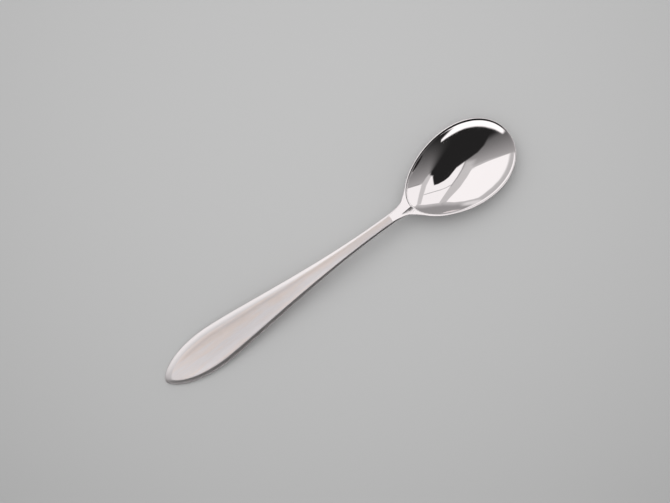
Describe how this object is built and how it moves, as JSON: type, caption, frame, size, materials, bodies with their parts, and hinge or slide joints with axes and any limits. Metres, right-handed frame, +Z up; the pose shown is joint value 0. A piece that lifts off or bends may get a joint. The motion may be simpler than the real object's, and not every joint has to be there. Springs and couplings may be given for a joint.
{
  "type": "egg spoon",
  "caption": "Slim steel egg spoon: a dished leaf-shaped satin handle, a narrow shank and a polished egg-shaped bowl, for eating boiled egg from its shell.",
  "frame": {"origin": "on the table, under the middle of the spoon's length and width", "axes": "+X along the spoon from the handle's end to the bowl's tip, +Z up out of the bowl"},
  "size_m": [0.125, 0.0244, 0.0092],
  "materials": {
    "stainless_steel": "satin on the handle, mirror polished on the neck and bowl"
  },
  "bodies": {
    "root": {"spoon": "stainless_steel"}
  },
  "joints": []
}
